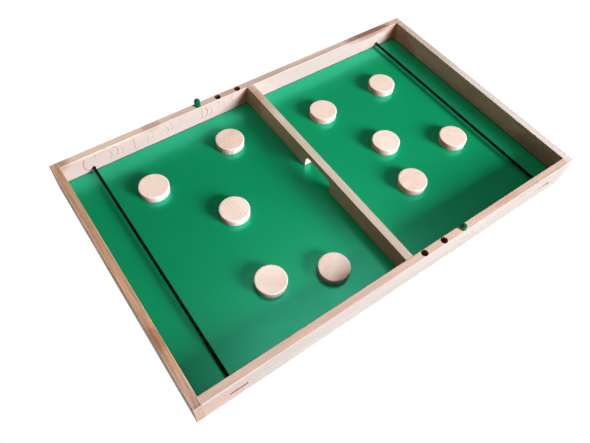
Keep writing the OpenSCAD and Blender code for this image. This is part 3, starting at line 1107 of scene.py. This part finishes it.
elastic = {
    "sides": 32,
    "stations": 44,
    "smoothBelow": 40,
    "first": 0.001,  # length of the part next to the middle of the board
    "pinch": 0.0001,  # length in which it narrows
    "neck": 0.0009,  # radius of the pinched end
    "neckLength": 0.0023,
    "colour": (0.0022, 0.0030, 0.0026),
    "thread": (0.0045, 0.0075, 0.0060),
    "strands": 12,  # threads each way round the braid
    "pitch": 0.0085,  # length in which a thread goes once round
    "threadDepth": 0.00016,
    "roughness": (0.75, 0.5),  # between the threads and on them
    "specular": 0.08,
}


# The tube's own map: U goes once round it and V runs along it, in metres.
def mapTube(piece, axisX, axisZ):
    mesh = piece.data
    layer = mesh.uv_layers.new(name="alongCord")
    for polygon in mesh.polygons:
        places = [mesh.vertices[v].co for v in polygon.vertices]
        rounds = [math.atan2(p.z - axisZ, p.x - axisX) / (2 * math.pi) for p in places]
        if max(rounds) - min(rounds) > 0.5:
            rounds = [r + 1 if r < 0 else r for r in rounds]
        for loop, r, p in zip(polygon.loop_indices, rounds, places):
            layer.data[loop].uv = (r, p.y)


def elasticFinish(values):
    material, tree, shader = newFinish("blackBraid", {"Specular IOR Level": values["specular"]})
    around = split(tree, addNode(tree, "UVMap").outputs[0])
    threads = 2 * math.pi * values["strands"]
    turn = times(tree, around[0], threads)
    rise = times(tree, around[1], threads / values["pitch"])
    one = calc(tree, "SINE", calc(tree, "ADD", turn, rise))
    other = calc(tree, "SINE", calc(tree, "SUBTRACT", turn, rise))
    height = eased(tree, calc(tree, "MAXIMUM", one, other), -0.4, 1.0)
    worn = noise(tree, addNode(tree, "TexCoord").outputs["UV"], (40, 90, 1), 3.0)
    shown = times(tree, height, eased(tree, worn, 0.3, 0.7, 0.5, 1.0))
    colour = mixColour(tree, shown, values["colour"], values["thread"])
    rough = eased(tree, height, 0.0, 1.0, *values["roughness"])
    joinFinish(tree, shader, colour, rough, height, values["threadDepth"])
    return material


# Half an elastic, from the middle of the board to its tag.
def makeElasticHalf(end, node, side, finish):
    low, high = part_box(node)
    x, z = (low.x + high.x) / 2, (low.z + high.z) / 2
    radius = (high.z - low.z) / 2
    bpy.ops.mesh.primitive_circle_add(vertices=elastic["sides"], radius=radius, fill_type="NGON",
                                      location=(x, 0, z), rotation=(math.radians(90), 0, 0))
    piece = bpy.context.object
    piece.name = pieceName(node) + end
    applyPlace()
    setMode("EDIT")
    bpy.ops.mesh.select_mode(type="FACE")
    bpy.ops.mesh.select_all(action="SELECT")
    extrude(0, side * elastic["first"], 0)
    step = (high.y - elastic["neckLength"] - elastic["first"]) / elastic["stations"]
    for _ in range(elastic["stations"]):
        extrude(0, side * step, 0)
    extrude(0, side * elastic["pinch"], 0)
    narrow = elastic["neck"] / radius
    bpy.ops.transform.resize(value=(narrow, 1, narrow))
    extrude(0, side * (elastic["neckLength"] - elastic["pinch"]), 0)
    bpy.ops.mesh.select_all(action="SELECT")
    bpy.ops.mesh.normals_make_consistent(inside=False)
    setMode("OBJECT")
    smoothBelow(elastic["smoothBelow"])
    mapTube(piece, x, z)
    dress(piece, finish)
    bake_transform(piece)
    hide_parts(node)


def makeElastics():
    finish = elasticFinish(elastic)
    for node, body in (("left_elastic", "left_sling"), ("right_elastic", "right_sling")):
        makeElasticHalf("Front", node, -1, finish)
        makeElasticHalf("Back", node, 1, finish)


makeElastics()
print("elastics are made")

tag = {
    "seed": 1.9,
    "colour": (0.085, 0.036, 0.028),
    "dark": (0.045, 0.018, 0.014),
    "darkShare": 0.4,  # of smudges and of mottling
    # Painted light: the front right tag is made pale where light falls full on the front rail.
    "pale": (0.36, 0.27, 0.22),  # the front right tag
    "paintedLightPlace": (0.250, -0.184, 0.0202),
    "paintedLightReach": (0.04, 0.04, 0.04),
    "roughness": 0.45,
    "smudgeRough": 0.15,
    "specular": 0.4,
    "grain": 0.00004,
    "softness": 0.0003,
    "segments": 3,
}


def tagFinish(values):
    material, tree, shader = newFinish("brownTag", {"Specular IOR Level": values["specular"]})
    place = addNode(tree, "TexCoord").outputs["Object"]
    used = handled(tree, place, values["seed"])
    mottled = noise(tree, place, (400, 400, 400), 2.0)
    share = times(tree, calc(tree, "ADD", used["Smudges"], mottled), values["darkShare"])
    colour = mixColour(tree, share, values["colour"], values["dark"])
    # Painted light on the front right tag.
    patch = useGroup(tree, softPatch, {"Place": place, "Centre": values["paintedLightPlace"],
                                       "Reach": values["paintedLightReach"]})
    colour = mixColour(tree, patch["Mask"], colour, values["pale"])
    rough = calc(tree, "MULTIPLY_ADD", used["Smudges"], values["smudgeRough"], values["roughness"])
    joinFinish(tree, shader, colour, rough, mottled, values["grain"])
    return material


def makeTags():
    piece = copyOfSolid("elastic_tags", wholeFaces=True)
    roundEdges(piece, tag["softness"], tag["segments"])
    dress(piece, tagFinish(tag))
    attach(piece, "board")
    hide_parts("elastic_tags")


makeTags()
print("tags are made")
